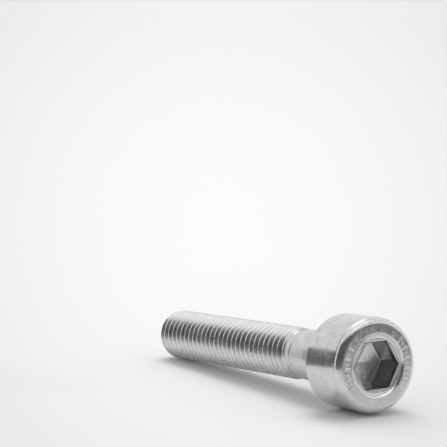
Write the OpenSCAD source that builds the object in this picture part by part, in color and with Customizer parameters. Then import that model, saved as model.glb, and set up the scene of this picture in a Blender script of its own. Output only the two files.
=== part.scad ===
// Hex socket cap screw: one forged piece with a rolled right-handed thread.
// It is drawn upright along its own axis, with the bearing face under the head at height 0,
// the head above it and the shank below. It is then laid on its side the way it comes to rest:
// on the edge of the head and on the last full crest of the thread, head a little higher.

/* [Head] */
// Diameter of the head
head_d = 8.5; // [7.6:0.1:10]
// Height of the head above the bearing face
head_h = 5; // [4.2:0.1:7]
// Radius of the rounded edge round the top
head_edge_r = 0.62; // [0.2:0.02:0.9]
// Width of the small bevel round the bearing face
head_rim = 0.12; // [0.04:0.02:0.3]

/* [Socket] */
// Width of the hexagon between opposite flats
socket_af = 4; // [3:0.05:4.4]
// Depth of the socket from the top of the head to the corners of its floor
socket_depth = 2.7; // [1.6:0.1:3.2]
// How much deeper the middle of the six-sided floor lies than its corners
floor_dip = 0.34; // [0.1:0.02:0.5]
// Width of the bevel round the mouth of the hexagon
mouth_bevel = 0.12; // [0.04:0.02:0.2]
// Diameter of the round recess that leads into the hexagon
recess_d = 5.7; // [5.4:0.1:6.2]
// Depth of that recess at its edge
recess_depth = 0.2; // [0.05:0.05:0.4]
// Width of the steep wall round that recess
recess_wall = 0.14; // [0.05:0.01:0.2]
// Fall of the recess from its edge to the mouth
recess_fall = 0.1; // [0.02:0.02:0.2]

/* [Shank] */
// Length of the screw from the bearing face to the tip
screw_len = 30; // [16:1:50]
// Diameter of the plain shank
shank_d = 5; // [4.9:0.02:5.2]
// Distance from the bearing face to the end of the plain shank
shank_len = 3.2; // [1.5:0.1:6]
// Radius of the fillet under the head
fillet_r = 0.6; // [0.3:0.05:0.8]
// Height of the fillet along the shank
fillet_h = 0.42; // [0.2:0.02:0.6]
// Length of the neck that narrows from the shank to the thread
neck_len = 2.8; // [1:0.1:5]
// Diameter of the rolled blank, where the neck meets the thread
blank_d = 4.56; // [4.4:0.02:4.7]
// Distance from the thread to the fine ring that the rolling die leaves on the neck
ring_gap = 0.4; // [0.2:0.05:0.8]
// Depth and half width of that ring
ring_size = 0.04; // [0.02:0.01:0.08]

/* [Thread] */
// Diameter over the crests
thread_d = 4.9; // [4.8:0.02:5]
// Diameter at the roots
root_d = 4.04; // [3.9:0.02:4.2]
// Advance of the thread in one turn
pitch = 0.8; // [0.7:0.05:1]
// Angle between the two flanks
flank_angle = 60; // [55:1:60]
// Length over which the thread fades into the neck
run_out = 1.3; // [0.6:0.1:2.4]
// Diameter of the flat tip
tip_d = 3.64; // [3:0.02:3.8]
// Slope of the chamfer at the tip, from the axis
tip_angle = 30; // [25:1:40]

/* [Hidden] */
head_r = head_d / 2;
shank_r = shank_d / 2;
blank_r = blank_d / 2;
crest_r = thread_d / 2;
root_r = root_d / 2;
tip_r = tip_d / 2;
neck_end = shank_len + neck_len;
overlap = 0.5;

// Hexagon: radius to its corners for a given width between flats, with two flats level
// when the screw lies down.
function corner_r(flats) = flats / 2 / cos(30);
socket_turn = 30;
// The seam of the revolved head faces up when the screw lies down
seam_turn = 180;
mouth_z = head_h - recess_depth - recess_fall;
floor_z = head_h - socket_depth;
apex_z = floor_z - floor_dip;

// Thread form: half the width of the ridge at its crest and at its foot. The crest of a full
// profile is an eighth of the pitch wide at the nominal diameter.
flank = tan(flank_angle / 2);
crest_half = pitch / 16 + (shank_r - crest_r) * flank;
foot_half = min(crest_half + (crest_r - root_r) * flank, pitch * 0.46);
taper = tan(tip_angle);
chamfer_len = (crest_r - tip_r) / taper;

// The thread is a grid: steps go round the helix, and each step has the four corners of the
// ridge. The facet before step number back_steps lies at the foot of the lying screw, on its
// last full crest, so that the screw rests on a flat and doesn't roll.
turn_steps = 32;
corners = 4;
end_gap = 0.08;
end_lap = 0.12;
contact_z = -screw_len + chamfer_len + crest_half;
back_steps = floor((contact_z + screw_len - foot_half - end_gap) / pitch * turn_steps);
on_steps = floor((-neck_end - contact_z - foot_half - end_gap) / pitch * turn_steps);
last_step = back_steps + on_steps;

// How the screw lies: the head's bevelled edge and the last full crest touch the floor.
lie_angle = atan2(head_r - crest_r, head_rim + screw_len - chamfer_len);

function steps_on(step) = step - back_steps + 0.5;
function turn_of(step) = steps_on(step) * 360 / turn_steps;
function height_of(step) = contact_z + steps_on(step) * pitch / turn_steps;
function cone_r(z) = tip_r + (z + screw_len) * taper;
function fade(z) = max(0, min(1, (-neck_end - z) / run_out));
function mix(a, b, share) = a + (b - a) * share;

// Radius at which the chamfer cuts the crest, on the side of the ridge given by 1 or -1
function cut_r(z, side) =
    (tip_r + (z + screw_len + side * (crest_half + crest_r * flank)) * taper) / (1 + side * flank * taper);
function crest_off(z, side) =
    min(crest_half + (crest_r - min(cut_r(z, side), crest_r)) * flank, foot_half - end_gap / 4);

// One corner of the ridge as [radius, height]: 0 and 3 are its feet, 1 and 2 its crest
function ridge(z, corner) =
    corner == 0 ? foot(z - foot_half) :
    corner == 1 ? crest(z - crest_off(z, -1)) :
    corner == 2 ? crest(z + crest_off(z, 1)) :
    foot(z + foot_half);
function foot(z) = [min(mix(blank_r, root_r, fade(z)), cone_r(z)), z];
function crest(z) = [min(mix(blank_r, crest_r, fade(z)), cone_r(z)), z];
function on_turn(rz, angle) = [rz[0] * cos(angle), rz[0] * sin(angle), rz[1]];
function circle_at(r, z) = [for (i = [0:turn_steps - 1]) on_turn([r, z], turn_of(i))];

// Places in the list of points
function at(step, corner) = step * corners + corner;
bottom_at = (last_step + 1) * corners;
top_at = bottom_at + turn_steps;
function bottom(step) = bottom_at + step % turn_steps;
function top(step) = top_at + step % turn_steps;
function quad(a, b, c, d) = [[a, b, c], [a, c, d]];
function fan(hub, rim) = [for (i = [0:len(rim) - 2]) [hub, rim[i], rim[i + 1]]];

// Solid thread with its core, closed by a flat tip below and a narrower disc above, which
// lies inside the neck
module thread() {
    points = concat(
        [for (step = [0:last_step]) for (c = [0:corners - 1]) on_turn(ridge(height_of(step), c), turn_of(step))],
        circle_at(tip_r, -screw_len),
        circle_at(blank_r - end_lap / 2, -neck_end + end_lap)
    );
    first_top = last_step - turn_steps;
    ridge_faces = [for (step = [0:last_step - 1]) for (c = [0:corners - 2])
        each quad(at(step, c), at(step, c + 1), at(step + 1, c + 1), at(step + 1, c))];
    root_faces = [for (step = [0:first_top - 1])
        each quad(at(step, 3), at(step + turn_steps, 0), at(step + turn_steps + 1, 0), at(step + 1, 3))];
    bottom_faces = [for (step = [0:turn_steps - 2])
        each quad(bottom(step), at(step, 0), at(step + 1, 0), bottom(step + 1))];
    // Where the first turn meets the second, the lower band ends on the ridge's first section
    bottom_seam = fan(bottom(turn_steps - 1), [at(turn_steps - 1, 0), at(turn_steps, 0), at(0, 3), at(0, 2),
        at(0, 1), at(0, 0), bottom(0)]);
    top_faces = [for (step = [first_top + 1:last_step - 1])
        each quad(at(step, 3), top(step), top(step + 1), at(step + 1, 3))];
    top_seam = fan(top(first_top + 1), [at(first_top + 1, 3), at(first_top, 3), at(last_step, 0),
        at(last_step, 1), at(last_step, 2), at(last_step, 3), top(last_step)]);
    tip_face = [[for (i = [0:turn_steps - 1]) bottom(i)]];
    disc_face = [[for (i = [turn_steps - 1:-1:0]) top(i)]];
    polyhedron(points, concat(ridge_faces, root_faces, bottom_faces, bottom_seam, top_faces, top_seam,
        tip_face, disc_face));
}

// Head: a revolved outline with a rounded top edge and a small bevel round the bearing face
module head() {
    rotate_extrude($fn = 96) {
        square([head_r - head_edge_r, head_h]);
        translate([head_r - head_edge_r, head_h - head_edge_r]) circle(r = head_edge_r, $fn = 64);
        translate([0, head_rim]) square([head_r, head_h - head_edge_r - head_rim]);
        polygon([[0, 0], [head_r - head_rim, 0], [head_r, head_rim], [0, head_rim]]);
    }
}

// Round recess in the top of the head: a steep wall, then a gentle fall to the hexagon
module recess() {
    recess_r = recess_d / 2;
    edge_z = head_h - recess_depth;
    steep = recess_wall / recess_depth;
    rotate_extrude($fn = 96)
        polygon([[0, mouth_z], [recess_r - recess_wall, edge_z], [recess_r, head_h],
            [recess_r + overlap * steep, head_h + overlap], [0, head_h + overlap]]);
}

// Hexagon of the socket over its six-sided floor, whose planes meet at the lowest point
module hexagon() {
    tall = head_h + overlap - apex_z;
    spread = corner_r(socket_af) / floor_dip;
    intersection() {
        translate([0, 0, apex_z - overlap]) linear_extrude(tall + overlap) circle(r = corner_r(socket_af), $fn = 6);
        translate([0, 0, apex_z]) cylinder(h = tall, r1 = 0, r2 = tall * spread, $fn = 6);
    }
}

// Bevel round the mouth of the hexagon, drawn past both of its edges
module mouth() {
    low = corner_r(socket_af - 2 * mouth_bevel);
    high = corner_r(socket_af + 4 * mouth_bevel);
    translate([0, 0, mouth_z - 3 * mouth_bevel]) cylinder(h = 6 * mouth_bevel, r1 = low, r2 = high, $fn = 6);
}

// Plain shank with the fillet under the head, and the neck that narrows to the thread
module shank() {
    fillet_w = fillet_r - sqrt(fillet_r * fillet_r - fillet_h * fillet_h);
    translate([0, 0, -shank_len]) cylinder(h = shank_len + overlap, r = shank_r, $fn = 96);
    rotate_extrude($fn = 96) difference() {
        translate([0, -fillet_h]) square([shank_r + fillet_w, fillet_h + overlap]);
        translate([shank_r + fillet_r, -fillet_h]) circle(r = fillet_r, $fn = 64);
    }
    difference() {
        translate([0, 0, -neck_end]) cylinder(h = neck_len, r1 = blank_r, r2 = shank_r, $fn = 96);
        die_ring();
    }
}

// Fine ring on the neck, a groove that follows the cone
module die_ring() {
    ring_r = mix(blank_r, shank_r, ring_gap / neck_len);
    translate([0, 0, ring_gap - neck_end]) rotate_extrude($fn = 96)
        polygon([[ring_r - ring_size, 0], [ring_r + overlap, -overlap * 2], [ring_r + overlap, overlap * 2]]);
}

module cap_screw() {
    color("silver") rotate([0, 90 - lie_angle, 0]) {
        difference() {
            rotate(seam_turn) head();
            rotate(seam_turn) recess();
            rotate(socket_turn) hexagon();
            rotate(socket_turn) mouth();
        }
        shank();
        thread();
    }
}

cap_screw();
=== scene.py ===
"""Hex socket cap screw, lying on its side: its finished surface over the CAD model, with floor, light and camera."""

import math

import bpy
import numpy as np
from mathutils import Matrix, Vector


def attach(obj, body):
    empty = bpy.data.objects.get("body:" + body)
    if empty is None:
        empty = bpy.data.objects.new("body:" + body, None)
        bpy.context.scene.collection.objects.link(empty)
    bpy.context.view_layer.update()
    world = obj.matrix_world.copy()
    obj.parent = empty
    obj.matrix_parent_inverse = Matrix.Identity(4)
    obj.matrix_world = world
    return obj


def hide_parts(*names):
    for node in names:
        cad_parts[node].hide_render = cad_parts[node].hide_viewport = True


MM = 0.001

# Head, in millimetres, upright along the screw's own axis with the bearing face at height 0: the rounded
# edge round its top with the fine turned step where it starts, and the rounded rim of the bearing face
HEAD_R = 4.25
HEAD_H = 5.0
EDGE_R = 0.62
EDGE_STEP = 0.04
RIM = 0.12

# Socket: hexagon, six-sided floor and the fillet round it, and the rounded mouth
SOCKET_AF = 4.0
SOCKET_DEPTH = 2.7
FLOOR_DIP = 0.34
FLOOR_FILLET = 0.06
MOUTH_WIDE = 0.13
MOUTH_HIGH = 0.3

# Recess round the hexagon: its lip, steep wall and gentle fall, and the fine turned rings on that
RECESS_R = 2.85
RECESS_DEPTH = 0.15
RECESS_WALL = 0.14
RECESS_FALL = 0.1
LIP = 0.05
TURNED_HIGH = 0.011
TURNED_EVERY = 3
TURNED_END = 0.03

# Shank and neck
SHANK_R = 2.5
SHANK_LEN = 3.2
FILLET_R = 0.6
FILLET_H = 0.42
NECK_LEN = 2.8
BLANK_R = 2.28
DIE_RING_GAP = 0.4
DIE_RING = 0.04

# Thread; the roundings are those of its crests and roots, and of the chamfer's edge at the tip
SCREW_LEN = 30.0
CREST_R = 2.45
ROOT_R = 2.02
PITCH = 0.8
FLANK = math.tan(math.radians(30))
RUN_OUT = 1.3
TIP_R = 1.82
TAPER = math.tan(math.radians(30))
THREAD_ROUNDING = 0.06
CHAMFER_ROUNDING = 0.03
END_GAP = 0.08

# Raised ticks on the top of the head: height, half width, the radii between which they lie, and the distance
# from one to the next and the arcs that they fill, in degrees
TICK_HIGH = 0.045
TICK_HALF = 0.075
TICK_INNER = 3.06
TICK_OUTER = 3.46
TICK_STEP = 8
TICK_ARCS = ((50, 130), (-122, -58))

# Steps round the head and round the shank; the first is a whole multiple of the second
HEAD_STEPS = 576
SHANK_STEPS = 72

# Where rings lie along the outline: radii on the bearing face, the distance of the rings that keep the side
# straight next to its ends, shares of the recess's wall, of the mouth and of the floor's fillet, and the
# number of rings along the rest
FACE_RADII = (2.9, 3.5, HEAD_R - RIM * 1.6)
HOLD = 0.04
WALL_SHARES = (0.5, 0.85, 1.0)
MOUTH_SHARES = (0.2, 0.5, 0.8, 1.0)
FILLET_SHARES = (0.35, 0.7, 1.0)
RIM_RINGS = 5
SIDE_RINGS = 7
EDGE_RINGS = 14
TOP_RINGS = 18
LIP_RINGS = 4
TURNED_RINGS = 9
MOUTH_RINGS = 4
SOCKET_RINGS = 6
FLOOR_RINGS = 13
FLOOR_INNER = 0.05
FILLET_RINGS = 8
SHANK_RINGS = 6
NECK_RINGS = 9

NECK_END = SHANK_LEN + NECK_LEN
CHAMFER_LEN = (CREST_R - TIP_R) / TAPER
CREST_HALF = PITCH / 16 + (SHANK_R - CREST_R) * FLANK
FOOT_HALF = CREST_HALF + (CREST_R - ROOT_R) * FLANK
LIE_ANGLE = math.atan2(HEAD_R - CREST_R, RIM + SCREW_LEN - CHAMFER_LEN)
FLOOR_Z = (RIM * math.sin(LIE_ANGLE) - HEAD_R * math.cos(LIE_ANGLE)) * MM

# Points across one side of the ridge, from the middle of its crest to the middle of the root
HALF_SECTION = (0.07, CREST_HALF, CREST_HALF + 0.025, 0.17, 0.25, FOOT_HALF - 0.03, FOOT_HALF, PITCH / 2 - 0.02)

# Flat tip and its rounded edge, as (r, z) from the middle outwards
TIP_OUTLINE = (
    (TIP_R * 0.5, -SCREW_LEN),
    (TIP_R - 0.06, -SCREW_LEN),
    (TIP_R - 0.015, -SCREW_LEN + 0.012),
    (TIP_R + 0.012, -SCREW_LEN + 0.05),
)

# Edges that turn by more degrees than this are shaded sharp
SHARP_ANGLE = 32

# Steel on each part of the screw: brightness, roughness, grain per millimetre and how it is drawn out along
# the axes, pits, bump, patches per millimetre, painted shade in the thread's grooves with a painted highlight
# on its crests, and place of the punch's mark
FINISHES = {
    "underside": dict(bright=0.6, rough=0.3, grain=6.0, bump=0.2),
    "side": dict(bright=0.66, rough=0.18, grain=5.0, streak=(1, 1, 0.25), pits=0.1, bump=0.15),
    "edge": dict(bright=0.7, rough=0.21, grain=5.0, pits=0.1, bump=0.12),
    "top": dict(bright=0.68, rough=0.24, grain=2.6, pits=0.5, bump=0.4, patch=1.8),
    "recess": dict(bright=0.74, rough=0.2, grain=4.0, pits=0.1, bump=0.12),
    # the socket's walls are painted darker than the rest of the steel: painted shade inside the hexagon
    "socket": dict(bright=0.33, rough=0.24, grain=4.0, streak=(1, 1, 0.15), pits=0.1, bump=0.12),
    # the socket's floor is painted brighter than the rest of the steel: painted light on the floor of the hexagon
    "floor": dict(bright=0.98, rough=0.33, grain=2.4, pits=0.6, bump=0.5, patch=1.6, mark=(1.15, 0.5)),
    "shank": dict(bright=0.66, rough=0.29, grain=6.0, streak=(1, 1, 0.3), pits=0.5, bump=0.18),
    # the thread gets painted shade in its grooves and a painted highlight on its crests
    "thread": dict(bright=0.68, rough=0.28, grain=4.0, bump=0.05, groove_shade_crest_light=0.25),
}

# How noise changes every finish: the part of its range in use, the shares of brightness and roughness at its
# ends, specks per millimetre and depth of the bump in millimetres; and how much warmer than grey the steel is
NOISE_SPAN = (0.35, 0.65)
TONE_SHARES = (0.84, 1.08)
ROUGH_SHARES = (0.8, 1.25)
SPECKS = 7.0
BUMP_DEPTH = 0.02
WARMTH = 0.006

# The punch's mark: radians per millimetre from its middle, height, and where it starts and stops to fade
MARK_RATE = 26.0
MARK_HIGH = 1.2
MARK_FADE = (0.1, 0.5)

# Camera: its place from the centre of the bearing face, the direction that it looks in, and its lens
CAMERA_AT = Vector((140.75, -99.28, 31.68)) * MM
LOOK = Vector((-0.8465, 0.5205, -0.1118))
FOCAL_PX = 1946
FRAME_PX = 447
SENSOR = 36

# Directions in the studio are (turn, elevation) in degrees; the turn starts at the camera's right and grows
# counter-clockwise seen from above, so that -90 is toward the camera.
# Dark things that only the metal sees: the top of a curtain round the stage, seen from the screw, and the
# edge of a dark table round the white sheet as (turn, distance in metres). Light comes in between the two parts.
ROOM = 5
CURTAIN_TOPS = (
    ((-5, 3), (-24, 6), (-38, 25), (-52, 39), (-75, 50), (-97, 55), (-120, 55), (-140, 52), (-155, 47), (-168, 40)),
    ((-193, 19), (-202, 16), (-209, 15)),
)
TABLE_EDGES = (
    ((-5, 0.06), (-30, 0.057), (-60, 0.054), (-90, 0.05), (-120, 0.048), (-150, 0.042), (-168, 0.038)),
    ((-193, 0.0265), (-209, 0.0235)),
)
TABLE_LIFT = 0.0001
DARK = 0.09

# White floor: half its width in metres, and a painted pool of light on it: its grey in the photograph's middle
# and away from it, and the slope off the line of sight at which it reaches the second
FLOOR_HALF = 15
FLOOR_POOL_GREYS = (0.83, 0.71)
GREY_FALL = 0.154

# Lamps: direction, spread in degrees and power of the two suns; direction, size and distance in metres and
# power of the softbox, which only shows in the metal
KEY = ((78, 72), 34, 1.0)
EDGE_LIGHT = ((104, 52), 22, 0.25)
GLOW = ((-36, 66), (0.5, 0.3), 0.6, 0.2)

# The world as the metal shows it, as it lights the rest, and as the camera sees it above the floor, where it
# carries on the floor's painted pool of light
WORLD_SHOWN = 0.9
WORLD_FILL = 0.8
WORLD_GREYS = (0.97, 0.83)


def lay_down():
    """Matrix from the upright screw in millimetres to the lying screw in metres."""
    return Matrix.Scale(MM, 4) @ Matrix.Rotation(math.pi / 2 - LIE_ANGLE, 4, "Y")


# Mesh of the screw


def angles(steps):
    return np.arange(steps) * 2 * math.pi / steps


def arc(centre_r, centre_z, radius, start, end, count):
    """Points of an arc as (r, z), from start to end in degrees."""
    turn = [math.radians(start + (end - start) * i / count) for i in range(count + 1)]
    return [(centre_r + radius * math.cos(t), centre_z + radius * math.sin(t)) for t in turn]


def soft_step(x):
    x = np.clip(x, 0, 1)
    return x * x * (3 - 2 * x)


def soft_min(a, b, rounding):
    """The lesser of a and b, rounded off where they cross."""
    return (a + b - np.hypot(a - b, rounding)) / 2


class Skin:
    """Points and faces of one closed surface, with a finish for each face."""

    def __init__(self):
        self.points = []
        self.faces = []
        self.finish = []

    def ring(self, r, z, steps):
        """Adds a closed ring; r and z are numbers or one value for each step. Returns its indices."""
        angle = angles(steps)
        r = np.broadcast_to(np.asarray(r, float), (steps,))
        z = np.broadcast_to(np.asarray(z, float), (steps,))
        first = len(self.points)
        self.points += list(zip(r * np.cos(angle), r * np.sin(angle), z))
        return list(range(first, first + steps))

    def face(self, corners, finish):
        self.faces.append(corners)
        self.finish.append(finish)

    def band(self, low, high, finish):
        """Joins two rings of equal length; the band faces outwards when low is below high."""
        count = len(low)
        for i in range(count):
            j = (i + 1) % count
            self.face((low[i], low[j], high[j], high[i]), finish)

    def widen(self, coarse, fine, finish):
        """Joins a coarse ring to a finer one outside it, seen from below."""
        count = len(coarse)
        share = len(fine) // count
        for i in range(count):
            j = (i + 1) % count
            run = [fine[(i * share + k) % len(fine)] for k in range(share + 1)]
            self.face((coarse[j], coarse[i], *run), finish)

    def cap(self, rim, z, finish, down=False):
        """Closes a ring with a point on the axis, seen from above or from below."""
        self.points.append((0.0, 0.0, z))
        middle = len(self.points) - 1
        for i, here in enumerate(rim):
            following = rim[(i + 1) % len(rim)]
            self.face((following, here, middle) if down else (here, following, middle), finish)


class Head:
    """Grows the head on a skin ring by ring, from the shank's first ring to the middle of the socket's floor."""

    def __init__(self, skin, inner):
        self.skin = skin
        self.inner = inner
        self.last = None

    def grow(self, r, z, finish):
        new = self.skin.ring(r, z, HEAD_STEPS)
        if self.last is None:
            self.skin.widen(self.inner, new, finish)
        else:
            self.skin.band(self.last, new, finish)
        self.last = new

    def add_outside(self):
        """Bearing face and its rim, side, and rounded edge."""
        for r in FACE_RADII:
            self.grow(r, 0, "underside")
        for r, z in arc(HEAD_R - RIM, RIM, RIM, -90, 0, RIM_RINGS):
            self.grow(r, z, "side")
        edge_z = HEAD_H - EDGE_R
        side_end = edge_z - EDGE_STEP
        for z in (RIM + HOLD, *np.linspace(RIM, edge_z, SIDE_RINGS + 1)[1:-1], side_end - HOLD, side_end):
            self.grow(HEAD_R, z, "side")
        for r, z in arc(HEAD_R - EDGE_R, edge_z, EDGE_R, 0, 90, EDGE_RINGS):
            lean = (r - HEAD_R + EDGE_R) / EDGE_R
            self.grow(r - EDGE_STEP * lean * lean, z, "edge")

    def add_top(self):
        """Flat ring with its ticks."""
        for r in np.linspace(HEAD_R - EDGE_R, RECESS_R + LIP, TOP_RINGS + 1)[1:]:
            self.grow(r, HEAD_H + tick_height(r), "top")

    def add_recess(self):
        """Lip and steep wall of the recess, then its gentle fall with fine turned rings to the hexagon's mouth."""
        for r, z in arc(RECESS_R + LIP, HEAD_H - LIP, LIP, 90, 165, LIP_RINGS)[1:]:
            self.grow(r, z, "recess")
        for share in WALL_SHARES:
            self.grow(RECESS_R - RECESS_WALL * share, HEAD_H - RECESS_DEPTH * share, "recess")
        mouth = mouth_r()
        last_turned = float(mouth.max()) + TURNED_END
        for number, r in enumerate(np.linspace(RECESS_R - RECESS_WALL, last_turned, TURNED_RINGS + 1)[1:]):
            raised = TURNED_HIGH * (number % TURNED_EVERY == 1)
            self.grow(r, recess_height(r) + raised, "recess")
        for share in np.linspace(0, 1, MOUTH_RINGS + 1)[1:]:
            r = last_turned + (mouth - last_turned) * share
            self.grow(r, recess_height(r), "recess")

    def add_socket(self):
        """Rounded mouth and walls of the hexagon, a small fillet, and six planes that fall to the middle."""
        mouth, wall = mouth_r(), hexagon_r(SOCKET_AF)
        mouth_z = recess_height(mouth)
        for share in MOUTH_SHARES:
            drop = MOUTH_HIGH * (1 - math.sqrt(1 - share * share))
            self.grow(mouth + (wall - mouth) * share, mouth_z - drop, "socket")
        wall_z = mouth_z - MOUTH_HIGH
        floor_z = HEAD_H - SOCKET_DEPTH
        for share in np.linspace(0, 1, SOCKET_RINGS + 1)[1:]:
            self.grow(wall, wall_z + (floor_z + FLOOR_FILLET - wall_z) * share, "socket")
        half = SOCKET_AF / 2
        corner_slope = FLOOR_DIP / (half / math.cos(math.pi / 6))
        for share in FILLET_SHARES:
            inward = FLOOR_FILLET * share
            rise = FLOOR_FILLET * (1 - math.sqrt(1 - (1 - share) ** 2))
            self.grow(wall * (1 - inward / half), floor_z + rise - corner_slope * inward, "floor")
        for share in np.linspace(1 - FLOOR_FILLET / half, FLOOR_INNER, FLOOR_RINGS + 1)[1:]:
            self.grow(wall * share, floor_z - FLOOR_DIP * (1 - share), "floor")
        self.skin.cap(self.last, floor_z - FLOOR_DIP, "floor")


def hexagon_r(flats):
    """Distance from the axis to a hexagon, for each step round the head; two flats are level when it lies."""
    off_flat = (angles(HEAD_STEPS) + math.pi / 6) % (math.pi / 3) - math.pi / 6
    return flats / 2 / np.cos(off_flat)


def mouth_r():
    return hexagon_r(SOCKET_AF + 2 * MOUTH_WIDE)


def recess_height(r):
    """Height of the recess's gentle fall at radius r."""
    return HEAD_H - RECESS_DEPTH - RECESS_FALL * (1 - r / (RECESS_R - RECESS_WALL))


def tick_height(r):
    """Height of the raised ticks on the ring of radius r, for each step round the head."""
    height = np.zeros(HEAD_STEPS)
    foot = TICK_HALF * 1.5
    middle = (TICK_INNER + TICK_OUTER) / 2
    for low, high in TICK_ARCS:
        for number, degrees in enumerate(range(low, high + 1, TICK_STEP)):
            off = angles(HEAD_STEPS) - math.radians(degrees)
            # every second tick is a dot
            reach = 0.0 if number % 2 else (TICK_OUTER - TICK_INNER) / 2
            past_end = np.maximum(np.abs(r * np.cos(off) - middle) - reach, 0)
            gap = np.hypot(r * np.sin(off), past_end)
            height = np.maximum(height, TICK_HIGH * soft_step((foot - gap) / TICK_HALF))
    return height


def neck_r(z):
    return SHANK_R + (BLANK_R - SHANK_R) * (-z - SHANK_LEN) / NECK_LEN


def add_shank(skin):
    """Fillet, plain shank and neck, from the bearing face down. Returns the first and the last ring."""
    outline = []
    for i in range(FILLET_RINGS + 1):
        z = -FILLET_H * i / FILLET_RINGS
        rise = z + FILLET_H
        outline.append((SHANK_R + FILLET_R - math.sqrt(FILLET_R**2 - rise * rise), z))
    outline += [(SHANK_R, z) for z in np.linspace(-FILLET_H, -SHANK_LEN, SHANK_RINGS + 1)[1:]]
    # neck, with the fine ring that the rolling die leaves
    ring_z = DIE_RING_GAP - NECK_END
    outline += [(neck_r(z), z) for z in np.linspace(-SHANK_LEN, ring_z + DIE_RING * 2, NECK_RINGS + 1)[1:]]
    outline.append((neck_r(ring_z) - DIE_RING, ring_z))
    outline.append((neck_r(ring_z), ring_z - DIE_RING * 2))
    outline.append((neck_r(-NECK_END), -NECK_END))
    rings = [skin.ring(r, z, SHANK_STEPS) for r, z in outline]
    for upper, lower in zip(rings[:-1], rings[1:]):
        skin.band(lower, upper, "shank")
    return rings[0], rings[-1]


def thread_section():
    """Places across one turn of the thread, from root to root, and how deep each lies below the crest."""
    across = np.array([-PITCH / 2, *(-x for x in reversed(HALF_SECTION)), *HALF_SECTION])
    straight = (np.abs(across) - CREST_HALF) / FLANK
    below_crest = -soft_min(-straight, 0, THREAD_ROUNDING)
    return across, soft_min(below_crest, CREST_R - ROOT_R, THREAD_ROUNDING)


class Thread:
    """Grid of the helical thread, on the same helix as the CAD model: the section's points at each step."""

    def __init__(self, skin):
        self.skin = skin
        across, depth = thread_section()
        self.count = len(across)
        self.first = len(skin.points)
        contact_z = -SCREW_LEN + CHAMFER_LEN + CREST_HALF
        below = contact_z + SCREW_LEN - PITCH / 2 - END_GAP
        above = -NECK_END - contact_z - PITCH / 2 - END_GAP
        self.back = math.floor(below / PITCH * SHANK_STEPS)
        self.last = self.back + math.floor(above / PITCH * SHANK_STEPS)
        for step in range(self.last + 1):
            turn = (step - self.back) * 2 * math.pi / SHANK_STEPS
            z = contact_z + (step - self.back) * PITCH / SHANK_STEPS + across
            fade = soft_step((-NECK_END - z) / RUN_OUT)
            r = BLANK_R + (CREST_R - depth - BLANK_R) * fade
            cone = TIP_R + (z + SCREW_LEN) * TAPER
            r = soft_min(r, cone, CHAMFER_ROUNDING)
            skin.points += list(zip(r * math.cos(turn), r * math.sin(turn), z))

    def at(self, step, place):
        return self.first + step * self.count + place

    def beside(self, ring, step):
        """The point of a ring at the same angle as a step."""
        return ring[(step - self.back) % SHANK_STEPS]

    def face(self, *corners):
        self.skin.face(corners, "thread")

    def add_turns(self):
        """The ridge, and the root between each turn and the next."""
        at, end = self.at, self.count - 1
        for step in range(self.last):
            for j in range(end):
                self.face(at(step, j), at(step + 1, j), at(step + 1, j + 1), at(step, j + 1))
        for step in range(self.last - SHANK_STEPS):
            above = step + SHANK_STEPS
            self.face(at(step, end), at(step + 1, end), at(above + 1, 0), at(above, 0))

    def close_tip(self):
        """Flat tip with its rounded edge, and the seam where the first turn meets the second."""
        tip = [self.skin.ring(r, z, SHANK_STEPS) for r, z in TIP_OUTLINE]
        for low, high in zip(tip[:-1], tip[1:]):
            self.skin.band(low, high, "thread")
        at, foot = self.at, tip[-1]
        for step in range(SHANK_STEPS - 1):
            self.face(self.beside(foot, step), self.beside(foot, step + 1), at(step + 1, 0), at(step, 0))
        seam = [at(0, j) for j in range(self.count)]
        self.face(self.beside(foot, SHANK_STEPS - 1), self.beside(foot, 0), *seam, at(SHANK_STEPS, 0),
                  at(SHANK_STEPS - 1, 0))
        self.skin.cap(tip[0], -SCREW_LEN, "thread", down=True)

    def join_neck(self, ring):
        """Band from the last turn to the neck's last ring, and its seam."""
        at, end = self.at, self.count - 1
        start = self.last - SHANK_STEPS
        for step in range(start + 1, self.last):
            self.face(at(step, end), at(step + 1, end), self.beside(ring, step + 1), self.beside(ring, step))
        seam = [at(self.last, j) for j in range(end, -1, -1)]
        self.face(at(start, end), at(start + 1, end), self.beside(ring, start + 1), self.beside(ring, start), *seam)


def screw_mesh(materials):
    skin = Skin()
    top_ring, neck_ring = add_shank(skin)
    head = Head(skin, top_ring)
    head.add_outside()
    head.add_top()
    head.add_recess()
    head.add_socket()
    thread = Thread(skin)
    thread.add_turns()
    thread.close_tip()
    thread.join_neck(neck_ring)
    mesh = bpy.data.meshes.new("screw")
    mesh.from_pydata(skin.points, [], skin.faces)
    mesh.transform(lay_down())
    names = list(materials)
    for material in materials.values():
        mesh.materials.append(material)
    mesh.polygons.foreach_set("material_index", [names.index(f) for f in skin.finish])
    mesh.validate()
    mesh.shade_smooth()
    mesh.set_sharp_from_angle(angle=math.radians(SHARP_ANGLE))
    mesh.update()
    return mesh


# Materials


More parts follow.
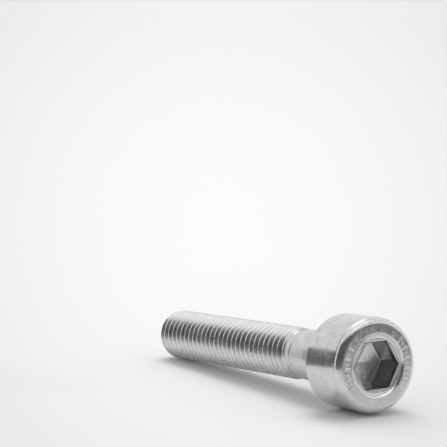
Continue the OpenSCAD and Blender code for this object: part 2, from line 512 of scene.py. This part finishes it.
class Nodes:
    """Shorthand for building a node tree."""

    def __init__(self, tree):
        self.tree = tree
        tree.nodes.clear()

    def add(self, kind, inputs=None, **settings):
        node = self.tree.nodes.new(kind)
        for name, value in settings.items():
            setattr(node, name, value)
        for name, value in (inputs or {}).items():
            if isinstance(value, bpy.types.NodeSocket):
                self.tree.links.new(value, node.inputs[name])
            else:
                node.inputs[name].default_value = value
        return node

    def math(self, operation, a, b=0.0):
        return self.add("ShaderNodeMath", {0: a, 1: b}, operation=operation).outputs[0]

    def vector(self, operation, a, b):
        """A vector operation; DISTANCE and DOT_PRODUCT give a number, the others a vector."""
        outputs = self.add("ShaderNodeVectorMath", {0: a, 1: b}, operation=operation).outputs
        return outputs["Value" if operation in ("DISTANCE", "DOT_PRODUCT") else "Vector"]

    def scaled(self, vector, scale):
        return self.add("ShaderNodeVectorMath", {0: vector, "Scale": scale}, operation="SCALE").outputs[0]

    def noise(self, vector, scale, detail=3.0, rough=0.55):
        inputs = {"Vector": vector, "Scale": scale, "Detail": detail, "Roughness": rough}
        return self.add("ShaderNodeTexNoise", inputs).outputs["Fac"]

    def span(self, value, low, high, from_low=0.0, from_high=1.0):
        inputs = {"Value": value, "From Min": from_low, "From Max": from_high, "To Min": low, "To Max": high}
        return self.add("ShaderNodeMapRange", inputs).outputs[0]

    def blend(self, share, low, high):
        """Colour between two greys; 6 and 7 are the sockets A and B of a colour mix."""
        return self.add("ShaderNodeMix", {0: share, 6: low, 7: high}, data_type="RGBA").outputs[2]

    def own_axes(self):
        """Coordinates along the upright screw's own axes, in millimetres."""
        place = self.add("ShaderNodeTexCoord").outputs["Object"]
        back = (0, -(math.pi / 2 - LIE_ANGLE), 0)
        turned = self.add("ShaderNodeVectorRotate", {"Vector": place, "Rotation": back}, rotation_type="EULER_XYZ")
        return self.scaled(turned.outputs[0], 1 / MM)

    def surface(self, inputs):
        shader = self.add("ShaderNodeBsdfPrincipled", inputs)
        self.add("ShaderNodeOutputMaterial", {"Surface": shader.outputs[0]})


def new_material(name):
    material = bpy.data.materials.new(name)
    material.use_nodes = True
    return material, Nodes(material.node_tree)


def grey(value, warm=0.0):
    return (value + warm, value + warm * 0.3, value - warm, 1.0)


def steel(name, bright, rough, grain, bump, streak=(1, 1, 1), pits=0.0, patch=1.1, groove_shade_crest_light=0.0, mark=None):
    """Stainless steel with fine grain, broader patches and specks; FINISHES says what the values are."""
    material, n = new_material(name)
    own = n.own_axes()
    fine = n.noise(n.vector("MULTIPLY", own, streak), grain, 4.0, 0.6)
    broad = n.noise(own, patch)
    speck = n.noise(own, SPECKS, 3.0, 0.7)
    tone = n.math("ADD", n.math("MULTIPLY", fine, 0.5), n.math("MULTIPLY", broad, 0.5))
    dull, shiny = (grey(bright * share, WARMTH) for share in TONE_SHARES)
    colour = n.blend(n.span(tone, 0.0, 1.0, *NOISE_SPAN), dull, shiny)
    across = n.vector("MULTIPLY", own, (1, 1, 0))
    if groove_shade_crest_light:
        # painted shade down in the grooves of the thread and a painted highlight on its crests
        radius = n.vector("DISTANCE", across, (0, 0, 0))
        colour = n.scaled(colour, n.span(radius, 1 - groove_shade_crest_light, 1 + groove_shade_crest_light * 0.5, ROOT_R, CREST_R))
    height = n.math("ADD", n.math("MULTIPLY", fine, 0.6), n.math("MULTIPLY", speck, pits))
    if mark:
        # a few fine rings that the forging punch leaves in the floor of the socket
        away = n.vector("DISTANCE", across, (*mark, 0))
        wave = n.math("SINE", n.math("MULTIPLY", away, MARK_RATE))
        height = n.math("ADD", height, n.math("MULTIPLY", wave, n.span(away, MARK_HIGH, 0.0, *MARK_FADE)))
    bumped = n.add("ShaderNodeBump", {"Height": height, "Strength": bump, "Distance": BUMP_DEPTH * MM})
    rough_low, rough_high = (rough * share for share in ROUGH_SHARES)
    n.surface({"Base Color": colour, "Metallic": 1.0, "Roughness": n.span(tone, rough_low, rough_high, *NOISE_SPAN),
               "Normal": bumped.outputs[0]})
    return material


def matte(name, colour_of):
    """Matte material; colour_of gives its colour, and gets the node tree to build it in."""
    material, n = new_material(name)
    n.surface({"Base Color": colour_of(n), "Roughness": 0.9, "Specular IOR Level": 0.2})
    return material


# Stage


def ground_axes():
    """The camera's right and its heading, both level."""
    right = LOOK.cross(Vector((0, 0, 1))).normalized()
    return right, Vector((0, 0, 1)).cross(right)


def toward(direction, distance):
    """The place at a distance in a direction, seen from the screw."""
    right, ahead = ground_axes()
    turn, elevation = (math.radians(angle) for angle in direction)
    level = right * math.cos(turn) + ahead * math.sin(turn)
    return (level * math.cos(elevation) + Vector((0, 0, math.sin(elevation)))) * distance


def off_middle(n, off, greys):
    """Painted pool of light: a grey that changes with the slope between a ray from the photograph's viewpoint and
    its line of sight.
    """
    right, ahead = ground_axes()
    depth = n.vector("DOT_PRODUCT", off, ahead)
    across = n.math("DIVIDE", n.vector("DOT_PRODUCT", off, right), depth)
    rise = n.math("DIVIDE", n.vector("DOT_PRODUCT", off, (0, 0, 1)), depth)
    up = n.math("SUBTRACT", rise, LOOK.z)
    slope = n.math("SQRT", n.math("ADD", n.math("POWER", across, 2.0), n.math("POWER", up, 2.0)))
    share = n.math("POWER", n.span(slope, 0.0, 1.0, 0.0, GREY_FALL), 2.0)
    return n.blend(share, *(grey(value) for value in greys))


def floor_light_pool(n):
    """Painted pool of light: the white sheet is painted brightest in the middle of the photograph and a little
    darker all round.
    """
    place = n.add("ShaderNodeTexCoord").outputs["Object"]
    viewpoint = (CAMERA_AT.x, CAMERA_AT.y, CAMERA_AT.z - FLOOR_Z)
    return off_middle(n, n.vector("SUBTRACT", place, viewpoint), FLOOR_POOL_GREYS)


def studio_piece(name, points, faces, height, material):
    mesh = bpy.data.meshes.new(name)
    mesh.from_pydata(points, [], faces)
    mesh.materials.append(material)
    piece = bpy.data.objects.new(name, mesh)
    piece.location = (0, 0, height)
    bpy.context.scene.collection.objects.link(piece)
    return piece


def dark_strip(name, near, far, height, material):
    """A strip between two rows of points that only shows in the metal."""
    count = len(near)
    faces = [(i, i + 1, count + i + 1, count + i) for i in range(count - 1)]
    strip = studio_piece(name, near + far, faces, height, material)
    strip.visible_camera = strip.visible_diffuse = strip.visible_shadow = False


def add_curtain(name, top, material):
    feet = [toward((turn, 0), ROOM) for turn, _ in top]
    rises = [ROOM * math.tan(math.radians(elevation)) for _, elevation in top]
    dark_strip(name, feet, [foot + Vector((0, 0, rise)) for foot, rise in zip(feet, rises)], FLOOR_Z, material)


def add_table(name, edge, material):
    rim = [toward((turn, 0), distance) for turn, distance in edge]
    far = [toward((turn, 0), ROOM) for turn, _ in edge]
    dark_strip(name, rim, far, FLOOR_Z + TABLE_LIFT, material)


def add_lamp(name, light, direction, distance=0.0):
    lamp = bpy.data.objects.new(name, light)
    lamp.location = toward(direction, distance)
    lamp.rotation_mode = "QUATERNION"
    lamp.rotation_quaternion = toward(direction, 1).to_track_quat("Z", "Y")
    bpy.context.scene.collection.objects.link(lamp)
    return lamp


def add_sun(name, direction, spread, power):
    sun = bpy.data.lights.new(name, "SUN")
    sun.angle = math.radians(spread)
    sun.energy = power
    return add_lamp(name, sun, direction)


def add_softbox(name, direction, size, distance, power):
    light = bpy.data.lights.new(name, "AREA")
    light.shape = "RECTANGLE"
    light.size, light.size_y = size
    light.energy = power
    lamp = add_lamp(name, light, direction, distance)
    lamp.visible_camera = lamp.visible_diffuse = False


def add_world():
    world = bpy.data.worlds.new("studio")
    bpy.context.scene.world = world
    world.use_nodes = True
    n = Nodes(world.node_tree)
    path = n.add("ShaderNodeLightPath")
    direction = n.add("ShaderNodeTexCoord").outputs["Generated"]
    # what the camera sees of the world is painted with the same pool of light as the floor
    colours = (grey(WORLD_FILL), grey(WORLD_SHOWN), off_middle(n, direction, WORLD_GREYS))
    fill, shown, seen = (n.add("ShaderNodeBackground", {"Color": colour}).outputs[0] for colour in colours)
    mix = n.add("ShaderNodeMixShader", {0: path.outputs["Is Glossy Ray"], 1: fill, 2: shown})
    mix = n.add("ShaderNodeMixShader", {0: path.outputs["Is Camera Ray"], 1: mix.outputs[0], 2: seen})
    n.add("ShaderNodeOutputWorld", {"Surface": mix.outputs[0]})


def add_stage():
    corners = [(x * FLOOR_HALF, y * FLOOR_HALF, 0) for x, y in ((-1, -1), (1, -1), (1, 1), (-1, 1))]
    studio_piece("floor", corners, [(0, 1, 2, 3)], FLOOR_Z, matte("floor_white", floor_light_pool))
    dark = matte("curtain_black", lambda n: grey(DARK))
    for side, (top, edge) in enumerate(zip(CURTAIN_TOPS, TABLE_EDGES)):
        add_curtain(f"curtain_{side}", top, dark)
        add_table(f"dark_table_{side}", edge, dark)
    add_sun("key", *KEY).visible_glossy = False
    add_sun("rim", *EDGE_LIGHT)
    add_softbox("glow", *GLOW)
    add_world()


def add_camera():
    data = bpy.data.cameras.new("camera")
    data.sensor_width = SENSOR
    data.lens = SENSOR * FOCAL_PX / FRAME_PX
    data.clip_start, data.clip_end = 0.01, 50
    camera = bpy.data.objects.new("camera", data)
    camera.location = CAMERA_AT
    camera.rotation_mode = "QUATERNION"
    camera.rotation_quaternion = LOOK.to_track_quat("-Z", "Y")
    bpy.context.scene.collection.objects.link(camera)
    bpy.context.scene.camera = camera


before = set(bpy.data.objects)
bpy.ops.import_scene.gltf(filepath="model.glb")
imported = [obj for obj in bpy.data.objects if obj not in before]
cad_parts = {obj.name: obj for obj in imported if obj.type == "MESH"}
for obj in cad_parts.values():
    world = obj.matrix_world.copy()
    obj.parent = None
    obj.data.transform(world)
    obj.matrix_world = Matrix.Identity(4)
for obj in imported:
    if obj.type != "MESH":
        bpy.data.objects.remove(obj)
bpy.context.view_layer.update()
add_camera()
add_stage()
bpy.context.scene.view_settings.view_transform = "Standard"

materials = {part: steel(f"steel_{part}", **look) for part, look in FINISHES.items()}
screw = bpy.data.objects.new("screw_skin", screw_mesh(materials))
bpy.context.scene.collection.objects.link(screw)
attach(screw, "root")
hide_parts("cap_screw")
